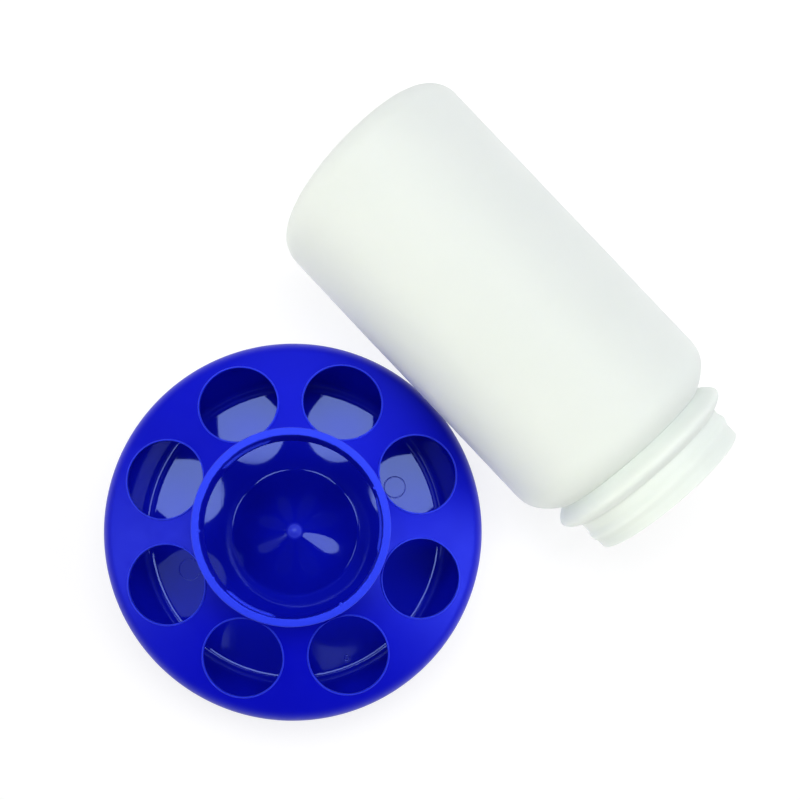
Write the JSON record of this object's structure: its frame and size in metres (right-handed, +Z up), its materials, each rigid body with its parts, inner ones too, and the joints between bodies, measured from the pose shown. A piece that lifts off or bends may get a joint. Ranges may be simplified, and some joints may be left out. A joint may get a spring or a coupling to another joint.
{
  "type": "automatic chicken feeder",
  "caption": "Round gravity feeder for chicks: a dish with a central cone under a conical cover with feed ports and a threaded collar, and a screw-in feed jar lying beside it.",
  "frame": {"origin": "centre of the base's underside, on the base's axis and on the surface it stands on", "axes": "+Z up along the base's axis; seen from above, the jar lies on the +X +Y side with its mouth towards +X -Y"},
  "size_m": [0.2637, 0.2644, 0.0943],
  "materials": {
    "pan_blue": "high gloss, as moulded",
    "cover_blue": "satin, as moulded",
    "jar_white": "translucent, faintly waxy, as blown"
  },
  "bodies": {
    "feed_pan": {"feed_pan": "pan_blue"},
    "feeder_cover": {"feeder_cover": "cover_blue"},
    "jar": {"jar": "jar_white"}
  },
  "joints": [
    {"name": "cover_lift", "type": "slide", "parent": "feed_pan", "child": "feeder_cover", "axis": [0, 0, 1], "range_m": [0, 0.04]},
    {"name": "jar_swing", "type": "hinge", "parent": "feeder_cover", "child": "jar", "pos_m": [0.08544, -0.01699, 0.09164], "axis": [0.0093, -0.8055, -0.5926], "range_deg": [0, 237.2]}
  ]
}
